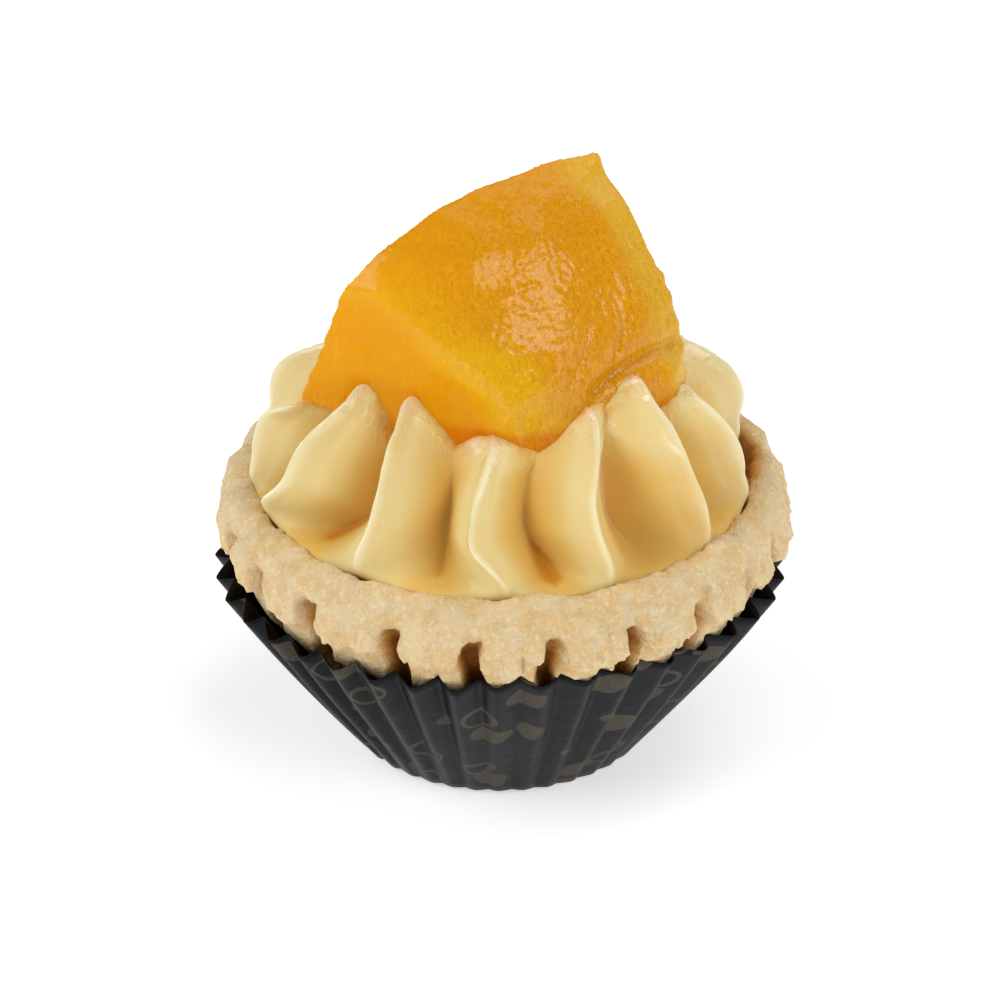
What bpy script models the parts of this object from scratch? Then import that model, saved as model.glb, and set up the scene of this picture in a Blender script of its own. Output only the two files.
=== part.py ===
# A mini peach tart: a fluted shortcrust shell, filled with a piped custard rosette, with one
# chunk of peach pressed into it, standing in a pleated paper baking case.
# Lengths are millimetres and angles degrees; MM turns lengths into metres where vertices are made.
# +Z is up and the origin is the centre of the case's underside. Angles run from the front (-Y),
# positive towards +X. Pieces that touch keep a gap of about 0.3 mm.

import math

import bmesh
import bpy
from mathutils import Vector

MM = 0.001

# Paper case: a round blank pressed into a cup, its wall gathered in pleats
CASE_BASE_RADIUS = 15.9
CASE_SLANT = 23.4              # wall length from the base's edge to the rim
CASE_WALL = 0.25
CASE_CORNER = 0.5              # softens the turn from base to wall
CASE_PLEATS = 40
FOLD_FLARE = 35.3              # outward folds, degrees from upright
FOLD_OVAL = 3.0                # they lean out more at the sides than in front and behind
CREASE_FLARE = 29.6            # inward creases
CREASE_OVAL = 0.9
WALL_BOW = 6.5                 # the wall leans this much more at its foot and less at its rim
FOLD_ROUNDING = 0.25           # the outward folds are rounded, the creases sharp
PLEAT_STEPS = (0.0, 0.34, 0.5, 0.66)
PLEAT_SWAY = 0.06              # how unevenly the pleats are spaced, as a share of their pitch
WALL_STEPS = (CASE_CORNER / CASE_SLANT, 0.33, 0.67, 1.0)
BASE_PLEAT = 0.15              # what is left of the pleats where the wall meets the base

# Crust
CRUST_SHIFT = 0.4              # it sits this far off the case's centre, towards +X
CRUST_BOTTOM = 0.6
LOBES = 22
FRONT_NOTCHES = (-72.0, -58.0, -42.0, -23.0, -6.4, 9.2, 26.5, 42.9, 57.7, 70.0)
NOTCH_SWAY = 0.12              # how unevenly the notches behind are spaced
NOTCH_HALF_WIDTH = 0.95
NOTCH_SOFTNESS = 0.35
LOBE_RADIUS = 30.0
LOBE_STEPS = (0.3, 0.5, 0.7)
LOBE_CORNER = 2.6              # rounds the lower corners of each lobe
LOBE_CORNER_RISE = 1.9
# lobe radius, lobe height, notch radius, notch height, share of the corner's rise
CRUST_ROWS = (
    (14.4, 0.6, 14.4, 0.6, 0.0),
    (15.4, 1.4, 15.1, 1.4, 0.0),
    (21.2, 11.6, 20.6, 11.6, 0.0),
    (25.7, 20.2, 25.0, 20.2, 0.0),
    (27.2, 22.3, 25.9, 22.2, 0.5),
    (28.8, 22.5, 26.2, 23.6, 1.0),
    (29.6, 23.4, 26.4, 24.8, 0.9),
    (30.0, 25.0, 27.0, 25.8, 0.4),
    (30.0, 27.0, 28.9, 26.9, 0.0),
    (29.3, 29.2, 29.1, 29.2, 0.0),
    (27.8, 30.6, 27.8, 30.6, 0.0),
    (26.5, 30.4, 26.5, 30.4, 0.0),
    (25.8, 29.6, 25.8, 29.6, 0.0),
    (13.4, 6.4, 13.4, 6.4, 0.0),
)
CRUST_FLOOR = 5.6

# Cream: it fills the shell and stands above it as a rosette of ridges from a star nozzle
CREAM_BOTTOM = 6.0
# each ridge: angles of its crest at the foot, half way up and at the top, then its size from the
# axis outwards and its height, both as a share of the full crest
RIDGES = (
    (-108.0, -107.0, -109.0, 1.0, 1.0),
    (-84.0, -85.0, -84.0, 0.96, 0.92),
    (-74.0, -60.0, -53.0, 1.0, 1.0),
    (-34.0, -29.0, -32.0, 1.0, 1.03),
    (-0.7, -8.5, -5.0, 0.93, 0.83),
    (25.5, 21.0, 34.0, 0.98, 0.95),
    (54.0, 53.0, 52.0, 1.0, 1.04),
    (82.0, 76.0, 70.0, 0.99, 0.97),
    (105.0, 106.0, 103.0, 1.0, 1.0),
    (136.0, 135.0, 132.0, 0.98, 0.97),
    (165.0, 165.0, 161.0, 1.0, 1.02),
    (193.0, 194.0, 192.0, 0.97, 0.96),
    (221.0, 224.0, 222.0, 0.99, 1.0),
)
RIDGE_FOOT_HEIGHT = 30.7
FULL_SIZE_HEIGHT = 35.0        # below it every foot reaches the crust, whatever the ridge's size
RIDGE_MIDDLE_HEIGHT = 38.0
RIDGE_TOP_HEIGHT = 46.0
CREST_ROUNDING = 0.1
FLANK_HOLLOW = 1.1             # above 1 the flanks between crest and valley are hollow
RIDGE_STEPS = (0.0, 0.12, 0.4, 0.75)
# crest radius, crest height, valley radius, valley height
CREAM_ROWS = (
    (13.1, 6.9, 13.1, 6.9),
    (25.3, 29.4, 25.3, 29.4),
    (25.6, 30.7, 22.0, 30.2),
    (26.3, 33.0, 18.2, 31.0),
    (26.3, 35.2, 17.0, 33.4),
    (25.2, 38.0, 16.3, 35.8),
    (22.4, 41.8, 15.5, 38.2),
    (19.8, 44.5, 14.7, 39.8),
    (17.8, 45.9, 13.4, 40.8),
    (15.2, 45.0, 10.5, 41.4),
    (9.0, 43.5, 5.5, 42.0),
)
CREAM_TOP = 42.0

# Peach: a chunk cut from a round of flesh by flat cuts
FLESH_CENTRE = Vector((-5.8, 16.2, 38.0))
FLESH_RADIUS = 31.7
# azimuth and elevation of each cut's outward direction, and its distance from the origin
PEACH_CUTS = (
    (-18.8, 1.0, 13.8),        # the smooth face at the lower left
    (-146.5, 15.5, 16.8),      # behind, to the left
    (128.3, 5.5, 17.3),        # behind, to the right
    (-90.0, -80.0, -38.0),     # the underside, sunk in the cream
)
PEACH_CLEARANCE = 0.36         # the cream keeps this far off the peach
PEACH_EDGE = 0.9               # width of the rounding along the cuts
PEACH_EDGE_STEPS = 3
PEACH_EDGE_ANGLE = 20.0        # edges that turn more than this are rounded
SLIVER = 0.45                  # shorter edges left by the cuts are closed up


def polar(radius, angle, height, shift=0.0):
    turn = math.radians(angle)
    return Vector((shift + radius * math.sin(turn), -radius * math.cos(turn), height)) * MM


def mix(low, high, share):
    return low + (high - low) * share


def smooth_step(low, high, value):
    share = min(max((value - low) / (high - low), 0.0), 1.0)
    return share * share * (3.0 - 2.0 * share)


def uneven(index, series):
    # a fixed irregularity between -1 and 1 for one of a row of repeated features
    return math.sin(index * 12.9898 + series * 78.233)


def rounded_ramp(share, rounding):
    # 0 at share 0 and 1 at share 1, with its corner at 0 rounded off
    reach = math.sqrt(1.0 + rounding ** 2) - rounding
    return (math.sqrt(share ** 2 + rounding ** 2) - rounding) / reach


def make_material(name, colour, roughness, coat=0.0):
    material = bpy.data.materials.new(name)
    material.use_nodes = True
    shader = material.node_tree.nodes["Principled BSDF"]
    shader.inputs["Base Color"].default_value = (*colour, 1.0)
    shader.inputs["Roughness"].default_value = roughness
    shader.inputs["Metallic"].default_value = 0.0
    shader.inputs["Coat Weight"].default_value = coat
    return material


def add_object(name, shape, material):
    bmesh.ops.recalc_face_normals(shape, faces=shape.faces)
    mesh = bpy.data.meshes.new(name)
    shape.to_mesh(mesh)
    shape.free()
    mesh.shade_smooth()
    mesh.materials.append(material)
    part = bpy.data.objects.new(name, mesh)
    bpy.context.collection.objects.link(part)
    return part


def skin_rings(rings):
    # joins rings of equal length with quads; a ring of one point is a pole
    shape = bmesh.new()
    loops = [[shape.verts.new(point) for point in ring] for ring in rings]
    for below, above in zip(loops, loops[1:]):
        count = max(len(below), len(above))
        for here in range(count):
            after = (here + 1) % count
            corners = [below[here % len(below)], below[after % len(below)],
                       above[after % len(above)], above[here % len(above)]]
            shape.faces.new(list(dict.fromkeys(corners)))
    return shape


# ---- paper case

def pleat_columns():
    # angle and fold wave of each column: the wave is -1 on a crease and 1 on a fold
    pitch = 360.0 / CASE_PLEATS
    columns = []
    for pleat in range(CASE_PLEATS):
        for step in PLEAT_STEPS:
            from_fold = abs(2.0 * step - 1.0)
            wave = 1.0 - 2.0 * rounded_ramp(from_fold, FOLD_ROUNDING)
            sway = uneven(pleat, 1 if step == 0.0 else 2)
            angle = (pleat - 0.5 + step + PLEAT_SWAY * sway) * pitch
            columns.append((angle, wave))
    return columns


def case_wall_point(angle, wave, share):
    # share of the slant length up a wall that bows outward in an arc
    oval = math.cos(2.0 * math.radians(angle))
    fold = FOLD_FLARE - FOLD_OVAL * oval
    crease = CREASE_FLARE - CREASE_OVAL * oval
    bow = math.radians(WALL_BOW)
    flare = math.radians(mix(crease, fold, 0.5 + 0.5 * wave))
    foot_lean = flare + bow
    lean = flare + bow * (1.0 - 2.0 * share)
    arc_radius = CASE_SLANT / (2.0 * bow)
    out = arc_radius * (math.cos(lean) - math.cos(foot_lean))
    height = arc_radius * (math.sin(foot_lean) - math.sin(lean))
    return polar(CASE_BASE_RADIUS + BASE_PLEAT * wave + out, angle, height)


def make_paper_case(material):
    columns = pleat_columns()
    base_radius = CASE_BASE_RADIUS - CASE_CORNER
    rings = [
        [Vector((0.0, 0.0, 0.0))],
        [polar(base_radius + BASE_PLEAT * wave, angle, 0.0) for angle, wave in columns],
    ]
    for share in WALL_STEPS:
        rings.append([case_wall_point(angle, wave, share) for angle, wave in columns])
    case = add_object("paper_case", skin_rings(rings), material)
    paper = case.modifiers.new("paper", "SOLIDIFY")
    paper.thickness = CASE_WALL * MM
    paper.offset = -1.0
    return case


# ---- crust

def notch_angles():
    behind = LOBES - len(FRONT_NOTCHES) + 1
    span = 360.0 + FRONT_NOTCHES[0] - FRONT_NOTCHES[-1]
    pitch = span / behind
    rest = [FRONT_NOTCHES[-1] + pitch * (place + NOTCH_SWAY * uneven(place, 3))
            for place in range(1, behind)]
    return list(FRONT_NOTCHES) + rest


def lobe_columns():
    # angle of each column and its distance along the rim from the nearest notch
    notches = notch_angles()
    degree = math.radians(LOBE_RADIUS)
    columns = []
    for here, start in enumerate(notches):
        end = notches[(here + 1) % LOBES] + (360.0 if here == LOBES - 1 else 0.0)
        width = (end - start) * degree
        inner, outer = NOTCH_HALF_WIDTH - NOTCH_SOFTNESS, NOTCH_HALF_WIDTH + NOTCH_SOFTNESS
        middle = [step * width for step in LOBE_STEPS]
        across = [0.0, inner, outer, *middle, width - outer, width - inner]
        for along in across:
            columns.append((start + along / degree, min(along, width - along)))
    return columns


def crust_point(angle, from_notch, row):
    lobe_radius, lobe_height, notch_radius, notch_height, corner = row
    lobe = smooth_step(NOTCH_HALF_WIDTH - NOTCH_SOFTNESS, NOTCH_HALF_WIDTH + NOTCH_SOFTNESS, from_notch)
    bend = min(max(1.0 - (from_notch - NOTCH_HALF_WIDTH) / LOBE_CORNER, 0.0), 1.0)
    rise = LOBE_CORNER_RISE * (1.0 - math.sqrt(1.0 - bend * bend))
    radius = mix(notch_radius, lobe_radius, lobe)
    height = mix(notch_height, lobe_height + corner * rise, lobe)
    return polar(radius, angle, height, CRUST_SHIFT)


def make_crust(material):
    columns = lobe_columns()
    rings = [[Vector((CRUST_SHIFT, 0.0, CRUST_BOTTOM)) * MM]]
    for row in CRUST_ROWS:
        rings.append([crust_point(angle, from_notch, row) for angle, from_notch in columns])
    rings.append([Vector((CRUST_SHIFT, 0.0, CRUST_FLOOR)) * MM])
    return add_object("crust", skin_rings(rings), material)


# ---- cream

def crest_angle(ridge, height):
    foot, middle, top = RIDGES[ridge][:3]
    if height < RIDGE_MIDDLE_HEIGHT:
        share = smooth_step(RIDGE_FOOT_HEIGHT, RIDGE_MIDDLE_HEIGHT, height)
        return mix(foot, middle, share)
    share = smooth_step(RIDGE_MIDDLE_HEIGHT, RIDGE_TOP_HEIGHT, height)
    return mix(middle, top, share)


def cream_point(ridge, away, row):
    # away runs from 0 on the ridge's crest to 1 in the valley after it and -1 in the one before
    crest_radius, crest_height, valley_radius, valley_height = row
    side = 1 if away >= 0.0 else -1
    neighbour = (ridge + side) % len(RIDGES)
    crest = crest_angle(ridge, crest_height)
    to_next = (crest_angle(neighbour, crest_height) - crest) % 360.0
    if side < 0:
        to_next -= 360.0
    angle = crest + abs(away) * to_next / 2.0
    ridge_share = (1.0 - rounded_ramp(abs(away), CREST_ROUNDING)) ** FLANK_HOLLOW
    growth = smooth_step(RIDGE_FOOT_HEIGHT, FULL_SIZE_HEIGHT, crest_height)
    size, tallness = [mix(1.0, share, growth) for share in RIDGES[ridge][3:]]
    sized_height = mix(RIDGE_FOOT_HEIGHT, crest_height, tallness)
    radius = mix(valley_radius, crest_radius * size, ridge_share)
    height = mix(valley_height, sized_height, ridge_share)
    return polar(radius, angle, height, CRUST_SHIFT)


def make_cream(material):
    steps = [-step for step in reversed(RIDGE_STEPS[1:])] + list(RIDGE_STEPS) + [1.0]
    columns = [(ridge, away) for ridge in range(len(RIDGES)) for away in steps]
    rings = [[Vector((CRUST_SHIFT, 0.0, CREAM_BOTTOM)) * MM]]
    for row in CREAM_ROWS:
        rings.append([cream_point(ridge, away, row) for ridge, away in columns])
    rings.append([Vector((CRUST_SHIFT, 0.0, CREAM_TOP)) * MM])
    return add_object("cream", skin_rings(rings), material)


# ---- peach

def cut_direction(azimuth, elevation):
    turn, tilt = math.radians(azimuth), math.radians(elevation)
    return Vector((math.cos(tilt) * math.sin(turn), -math.cos(tilt) * math.cos(turn), math.sin(tilt)))


def cut_flesh(clearance):
    # the flesh's round surface and its cuts, each moved outward by the clearance
    shape = bmesh.new()
    bmesh.ops.create_icosphere(shape, subdivisions=5, radius=(FLESH_RADIUS + clearance) * MM)
    bmesh.ops.translate(shape, verts=shape.verts, vec=FLESH_CENTRE * MM)
    for azimuth, elevation, distance in PEACH_CUTS:
        outward = cut_direction(azimuth, elevation)
        everything = [*shape.verts, *shape.edges, *shape.faces]
        cut = bmesh.ops.bisect_plane(shape, geom=everything, clear_outer=True,
                                     plane_co=outward * (distance + clearance) * MM, plane_no=outward)
        rim = [item for item in cut["geom_cut"] if isinstance(item, bmesh.types.BMEdge)]
        bmesh.ops.holes_fill(shape, edges=rim)
    return shape


def make_peach(material):
    shape = cut_flesh(0.0)
    bmesh.ops.remove_doubles(shape, verts=shape.verts, dist=SLIVER * MM)
    turn = math.radians(PEACH_EDGE_ANGLE)
    cuts = [edge for edge in shape.edges if edge.calc_face_angle(0.0) > turn]
    bmesh.ops.bevel(shape, geom=cuts, offset=PEACH_EDGE * MM, segments=PEACH_EDGE_STEPS, profile=0.5,
                    affect="EDGES", clamp_overlap=True)
    return add_object("peach", shape, material)


def press_peach_in(cream, material):
    cutter = add_object("peach_clearance", cut_flesh(PEACH_CLEARANCE), material)
    cutter.hide_render = True
    cutter.display_type = "WIRE"
    hollow = cream.modifiers.new("peach hollow", "BOOLEAN")
    hollow.operation = "DIFFERENCE"
    hollow.solver = "EXACT"
    hollow.object = cutter


def build():
    for leftover in list(bpy.data.objects):
        bpy.data.objects.remove(leftover)
    paper = make_material("black paper", (0.032, 0.032, 0.034), 0.62)
    pastry = make_material("shortcrust", (0.70, 0.49, 0.25), 0.85)
    custard = make_material("custard cream", (0.80, 0.57, 0.21), 0.35)
    flesh = make_material("peach flesh", (0.76, 0.35, 0.02), 0.22, 0.5)
    make_paper_case(paper)
    make_crust(pastry)
    cream = make_cream(custard)
    make_peach(flesh)
    press_peach_in(cream, flesh)


build()
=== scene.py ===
import math

import bpy
import numpy as np
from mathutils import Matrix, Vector, noise


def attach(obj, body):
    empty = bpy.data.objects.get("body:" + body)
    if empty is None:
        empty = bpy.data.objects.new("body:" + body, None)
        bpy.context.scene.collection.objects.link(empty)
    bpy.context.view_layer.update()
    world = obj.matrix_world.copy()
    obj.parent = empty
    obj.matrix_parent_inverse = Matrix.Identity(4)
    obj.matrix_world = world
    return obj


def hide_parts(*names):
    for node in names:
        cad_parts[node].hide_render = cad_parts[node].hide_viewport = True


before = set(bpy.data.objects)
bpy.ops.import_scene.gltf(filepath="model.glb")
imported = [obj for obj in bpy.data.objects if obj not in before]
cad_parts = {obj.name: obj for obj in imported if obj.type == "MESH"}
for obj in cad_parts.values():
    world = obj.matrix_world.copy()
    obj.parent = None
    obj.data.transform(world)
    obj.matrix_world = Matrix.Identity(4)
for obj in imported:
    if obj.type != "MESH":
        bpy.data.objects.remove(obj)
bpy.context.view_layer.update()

mm = 0.001
tiny = 1e-6  # keeps a whole number whole when it is rounded down
mergeReach = 0.002  # points nearer than this become one


def mix(low, high, share):
    return low + (high - low) * share


def smoothStep(low, high, value):
    share = np.clip((value - low) / (high - low), 0.0, 1.0)
    return share * share * (3.0 - 2.0 * share)


def bump(value, middle, width):
    # a bell of height 1
    return np.exp(-((value - middle) / width) ** 2)


def uneven(index, series):
    # a fixed irregularity from -1 to 1, another one for each series
    return np.sin(index * 12.9898 + series * 78.233)


def roundedRamp(share, rounding):
    # from 0 to 1 like share itself, with a rounded start
    reach = math.sqrt(1.0 + rounding ** 2) - rounding
    return (np.sqrt(share ** 2 + rounding ** 2) - rounding) / reach


def smoothRows(rows, count, tension=0.6, fineCount=4000):
    # a smooth curve through the rows, cut into evenly spaced ones; its course is the first two columns
    rows = np.array(rows, float)
    chord = np.linalg.norm(np.diff(rows[:, :2], axis=0), axis=1)
    knots = np.concatenate(([0.0], np.cumsum(chord ** tension)))
    slope = np.diff(rows, axis=0) / np.diff(knots)[:, None]
    gap = np.diff(knots)[:, None]
    between = (slope[:-1] * gap[1:] + slope[1:] * gap[:-1]) / (gap[1:] + gap[:-1])
    tangent = np.vstack((slope[:1], between, slope[-1:]))
    fine = np.linspace(0.0, knots[-1], fineCount)
    here = np.clip(np.searchsorted(knots, fine, side="right") - 1, 0, len(rows) - 2)
    width = (knots[here + 1] - knots[here])[:, None]
    s = (fine - knots[here])[:, None] / width
    curve = ((1 + 2 * s) * (1 - s) ** 2 * rows[here] + s * (1 - s) ** 2 * width * tangent[here]
             + s * s * (3 - 2 * s) * rows[here + 1] + s * s * (s - 1) * width * tangent[here + 1])
    walked = np.concatenate(([0.0], np.cumsum(np.linalg.norm(np.diff(curve[:, :2], axis=0), axis=1))))
    wanted = np.linspace(0.0, walked[-1], count)
    return np.stack([np.interp(wanted, walked, column) for column in curve.T], axis=1)


def pointsOf(piece):
    values = np.zeros(len(piece.data.vertices) * 3)
    piece.data.vertices.foreach_get("co", values)
    return values.reshape(-1, 3) / mm


def normalsOf(piece):
    values = np.zeros(len(piece.data.vertices) * 3)
    piece.data.vertices.foreach_get("normal", values)
    return values.reshape(-1, 3)


def movePoints(piece, points):
    piece.data.vertices.foreach_set("co", (points * mm).astype(np.float32).ravel())
    piece.data.update()


def paint(piece, name, values):
    # a number at each point, which the piece's material reads
    layer = piece.data.attributes.new(name, "FLOAT", "POINT")
    layer.data.foreach_set("value", np.asarray(values, np.float32))


def polarPoints(radius, angle, height, shift=0.0):
    turn = np.radians(angle)
    return np.stack((shift + radius * np.sin(turn), -radius * np.cos(turn), height), axis=1)


def spinProfile(name, profile, columns):
    # draws a profile point by point, spins it round the axis and returns each point's row and angle
    bpy.ops.object.select_all(action="DESELECT")
    bpy.ops.mesh.primitive_plane_add(size=mm, location=(0, 0, 0))
    piece = bpy.context.object
    piece.name = piece.data.name = name
    bpy.ops.object.mode_set(mode="EDIT")
    bpy.ops.mesh.select_all(action="SELECT")
    bpy.ops.mesh.merge(type="CENTER")
    bpy.ops.object.mode_set(mode="OBJECT")  # so that the extruded points keep their order
    bpy.ops.object.mode_set(mode="EDIT")
    bpy.ops.mesh.select_all(action="SELECT")
    bpy.ops.transform.translate(value=(0, -profile[0][0] * mm, profile[0][1] * mm))
    for before, after in zip(profile, profile[1:]):
        step = (0, (before[0] - after[0]) * mm, (after[1] - before[1]) * mm)
        bpy.ops.mesh.extrude_vertices_move(TRANSFORM_OT_translate={"value": step})
    bpy.ops.object.mode_set(mode="OBJECT")
    order = piece.data.attributes.new("row", "FLOAT", "POINT")
    order.data.foreach_set("value", np.arange(len(profile), dtype=np.float32))
    bpy.ops.object.mode_set(mode="EDIT")
    bpy.ops.mesh.select_all(action="SELECT")
    bpy.ops.mesh.spin(steps=columns, angle=2 * math.pi, center=(0, 0, 0), axis=(0, 0, 1))
    bpy.ops.mesh.select_all(action="SELECT")
    bpy.ops.mesh.remove_doubles(threshold=mergeReach * mm)
    bpy.ops.mesh.normals_make_consistent(inside=False)
    bpy.ops.object.mode_set(mode="OBJECT")
    rows = np.zeros(len(piece.data.vertices), np.float32)
    piece.data.attributes["row"].data.foreach_get("value", rows)
    piece.data.attributes.remove(piece.data.attributes["row"])
    points = pointsOf(piece)
    return piece, np.rint(rows).astype(int), np.degrees(np.arctan2(points[:, 0], -points[:, 1]))


def facesOutward(piece):
    bpy.ops.object.select_all(action="DESELECT")
    bpy.context.view_layer.objects.active = piece
    piece.select_set(True)
    bpy.ops.object.mode_set(mode="EDIT")
    bpy.ops.mesh.select_all(action="SELECT")
    bpy.ops.mesh.normals_make_consistent(inside=False)
    bpy.ops.object.mode_set(mode="OBJECT")
    bpy.ops.object.shade_smooth()


def applyModifier(piece, kind, **settings):
    bpy.ops.object.select_all(action="DESELECT")
    bpy.context.view_layer.objects.active = piece
    piece.select_set(True)
    made = piece.modifiers.new(kind.lower(), kind)
    for name, value in settings.items():
        setattr(made, name, value)
    bpy.ops.object.modifier_apply(modifier=made.name)


def relief(piece, kind, size, depth, group="", **settings):
    # pushes the surface in and out by a procedural texture of that grain size
    texture = bpy.data.textures.new(piece.name + kind, kind)
    texture.noise_scale = size * mm
    for name, value in settings.items():
        setattr(texture, name, value)
    applyModifier(piece, "DISPLACE", texture=texture, strength=depth * mm, mid_level=0.5,
                  texture_coords="LOCAL", vertex_group=group)


def weightGroup(piece, name, weights, steps=20):
    # a vertex group with the weights rounded to that many steps
    group = piece.vertex_groups.new(name=name)
    levels = np.clip(np.rint(weights * steps), 0, steps).astype(int)
    for level in range(1, steps + 1):
        chosen = np.nonzero(levels == level)[0]
        if len(chosen):
            group.add(chosen.tolist(), level / steps, "REPLACE")


def plug(tree, entry, value):
    if isinstance(value, Wire):
        tree.links.new(value.socket, entry)
    elif isinstance(value, tuple) and len(value) == 3 and entry.type == "RGBA":
        entry.default_value = (*value, 1.0)
    else:
        entry.default_value = value


class Wire:
    # a node's output that can be used in sums: each operator adds one Math node
    def __init__(self, tree, socket):
        self.tree = tree
        self.socket = socket

    def maths(self, operation, *values):
        node = self.tree.nodes.new("ShaderNodeMath")
        node.operation = operation
        for entry, value in zip(node.inputs, values):
            plug(self.tree, entry, value)
        return Wire(self.tree, node.outputs[0])

    def __add__(self, other):
        return self.maths("ADD", self, other)

    def __radd__(self, other):
        return self.maths("ADD", other, self)

    def __sub__(self, other):
        return self.maths("SUBTRACT", self, other)

    def __rsub__(self, other):
        return self.maths("SUBTRACT", other, self)

    def __mul__(self, other):
        return self.maths("MULTIPLY", self, other)

    def __rmul__(self, other):
        return self.maths("MULTIPLY", other, self)

    def clipped(self):
        return self.maths("MINIMUM", self.maths("MAXIMUM", self, 0.0), 1.0)

    def distanceFrom(self, level):
        return self.maths("ABSOLUTE", self - level)


class Finish:
    # a Principled material, and the nodes that vary it over the surface
    def __init__(self, name, **constants):
        self.material = bpy.data.materials.new(name)
        self.material.use_nodes = True
        self.tree = self.material.node_tree
        self.shader = self.tree.nodes["Principled BSDF"]
        for entry, value in constants.items():
            self.set(entry.replace("_", " "), value)

    def set(self, entry, value):
        plug(self.tree, self.shader.inputs[entry], value)

    def node(self, kind, settings=None, values=None, output=0):
        made = self.tree.nodes.new("ShaderNode" + kind)
        for name, value in (settings or {}).items():
            setattr(made, name, value)
        for entry, value in (values or {}).items():
            plug(self.tree, made.inputs[entry], value)
        return Wire(self.tree, made.outputs[output])

    def place(self, turn=(0, 0, 0), stretch=(1, 1, 1)):
        # object coordinates in millimetres, turned and stretched
        spot = self.node("TexCoord", output="Object")
        return self.node("Mapping", None, {"Vector": spot, "Rotation": tuple(math.radians(t) for t in turn),
                                           "Scale": tuple(s / mm for s in stretch)})

    def mottle(self, where, size, detail=3.0, roughness=0.55, twist=0.0):
        # soft noise from 0 to 1 with patches of that size
        return self.node("TexNoise", None, {"Vector": where, "Scale": 1.0 / size, "Detail": detail,
                                            "Roughness": roughness, "Distortion": twist})

    def cells(self, where, size, feature="F1"):
        return self.node("TexVoronoi", {"feature": feature}, {"Vector": where, "Scale": 1.0 / size})

    def ramp(self, value, low, high):
        # rises softly from 0 at low to 1 at high
        return self.node("MapRange", {"interpolation_type": "SMOOTHSTEP"},
                         {"Value": value, "From Min": low, "From Max": high})

    def painted(self, name):
        return self.node("Attribute", {"attribute_name": name}, output="Fac")

    def blend(self, share, under, over):
        # inputs 6 and 7 and output 2 are the Mix node's colours
        return self.node("Mix", {"data_type": "RGBA"}, {0: share, 6: under, 7: over}, output=2)

    def bumps(self, height, depth, under=None):
        values = {"Height": height, "Distance": depth * mm, "Strength": 1.0}
        if under is not None:
            values["Normal"] = under
        return self.node("Bump", None, values)


# paper case: a flare is the wall's lean from upright, at the folds and at the creases between them
caseForm = {
    "baseRadius": 15.9, "slant": 24.4, "pleats": 40, "columnsPerPleat": 12,
    "foldFlare": 33.8, "foldOval": 2.5, "creaseFlare": 30.1, "creaseOval": 1.6,
    "leftLean": 0.6, "ragged": 0.7, "bow": 2.5, "foldRounding": 0.26,
    "sway": 0.1, "swayReach": 0.34, "basePleat": 0.15, "basePleatFade": 6, "corner": 0.5,
    "paper": 0.12, "floorRows": 8, "wallRows": 22, "slack": 0.16, "slackWaves": 5.0,
    "blank": 100.0, "samples": 8001,
}
# the print is a field of warped cells, of which some are filled and some outlined
casePaint = {
    "black": (0.006, 0.0065, 0.0078), "print": (0.085, 0.074, 0.055), "inside": (0.007, 0.006, 0.005),
    "pebble": 5.6, "scatter": 0.72, "shift": (5.5, 2.0, 0.0), "stretch": (0.78, 1.0, 1.0),
    "wander": 3.4, "wanderSize": 5.0, "filled": 1.75, "filledEdge": 0.15, "outlined": 1.6,
    "line": (0.28, 0.2), "choice": (0.5, 0.48), "speck": 0.22, "crinkle": 2.2, "crinkleDepth": 0.09,
}


def pleatAt(angle):
    # where an even column goes, and how far it lies from crease (-1) to fold (1)
    c = caseForm
    place = np.asarray(angle) / (360.0 / c["pleats"]) + 0.5
    pleat = np.floor(place + tiny)
    step = np.clip(place - pleat, 0.0, 1.0)
    wave = 1.0 - 2.0 * roundedRamp(np.abs(2.0 * step - 1.0), c["foldRounding"])
    count = c["pleats"]
    here, after = uneven(pleat % count, 1), uneven((pleat + 1) % count, 1)
    fold = uneven(pleat % count, 2)
    reach = c["swayReach"]
    sway = np.where(step < 0.5, mix(here, fold, np.clip(step / reach, 0, 1)),
                    mix(fold, after, np.clip((step - (1.0 - reach)) / reach, 0, 1)))
    return (pleat - 0.5 + step + c["sway"] * sway) * 360.0 / count, wave, pleat % count


def caseWall(angle, wave, pleat, share):
    # radius and height of the bowed wall, that share of the way up it
    c = caseForm
    oval = np.cos(2.0 * np.radians(angle))
    crease = c["creaseFlare"] - c["creaseOval"] * oval
    fold = c["foldFlare"] - c["foldOval"] * oval
    fold = fold + c["ragged"] * uneven(pleat, 8)
    flare = np.radians(mix(crease, fold, 0.5 + 0.5 * wave) - c["leftLean"] * np.sin(np.radians(angle)))
    bow = math.radians(c["bow"])
    lean = flare + bow * (1.0 - 2.0 * share)
    arc = c["slant"] / (2.0 * bow)
    out = arc * (np.cos(lean) - np.cos(flare + bow))
    height = arc * (np.sin(flare + bow) - np.sin(lean))
    slack = c["slack"] * uneven(pleat, 4) * np.sin(share * c["slackWaves"] + 2.0 * uneven(pleat, 5)) * share
    return c["baseRadius"] + c["basePleat"] * wave + out + slack, height


def paperAt(points):
    # the case's inner radius and rim height at each point's angle
    order = np.linspace(-185.0, 185.0, caseForm["samples"])
    laid, wavy, pleat = pleatAt(order)
    turn = np.degrees(np.arctan2(points[:, 0], -points[:, 1]))
    pleat = pleat[np.clip(np.searchsorted(laid, turn), 0, len(laid) - 1)]
    wave = np.interp(turn, laid, wavy)
    _, rim = caseWall(turn, wave, pleat, 1.0)
    radius, _ = caseWall(turn, wave, pleat, np.clip(points[:, 2] / rim, 0.0, 1.0))
    return radius - caseForm["paper"], rim


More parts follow.
